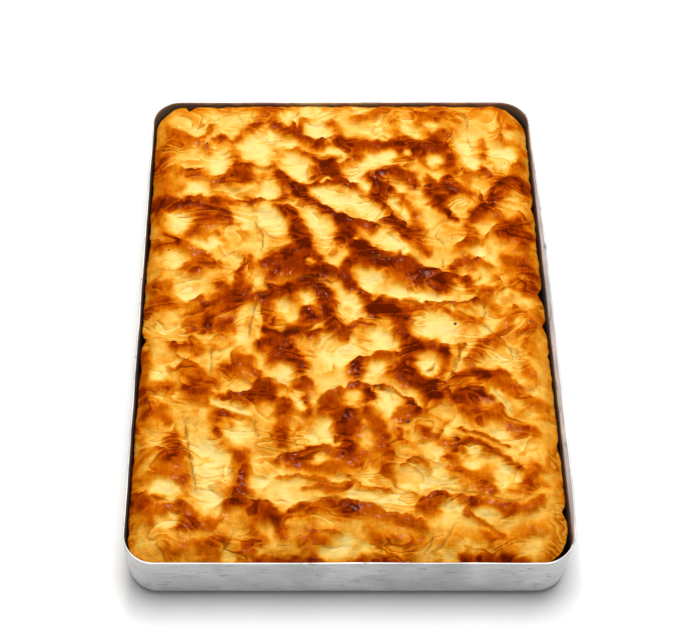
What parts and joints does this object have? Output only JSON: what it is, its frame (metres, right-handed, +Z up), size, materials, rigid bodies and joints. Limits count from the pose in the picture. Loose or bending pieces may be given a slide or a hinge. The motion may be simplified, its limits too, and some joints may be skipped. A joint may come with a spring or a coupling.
{
  "type": "baked filo pie in a rectangular tin",
  "caption": "Uncut rectangular filo pie with a browned, folded top, filling a plain aluminium baking tin with rounded corners, for serving and cutting up.",
  "frame": {"origin": "centre of the tin's flat underside, where the part rests", "axes": "+Z up, +Y along the tin's long side towards its back, +X along its short side to the right"},
  "size_m": [0.3024, 0.4024, 0.0565],
  "materials": {
    "tin_sheet": "dull satin sheet with fine drawn streaks, small scratches and grey scuffs, stained brown inside above the pie",
    "baked_pastry": "egg-washed filo pastry, pale cream in the hollows, golden to dark brown on the folds, with a soft gloss"
  },
  "bodies": {
    "root": {"tin": "tin_sheet", "pie": "baked_pastry"}
  },
  "joints": []
}
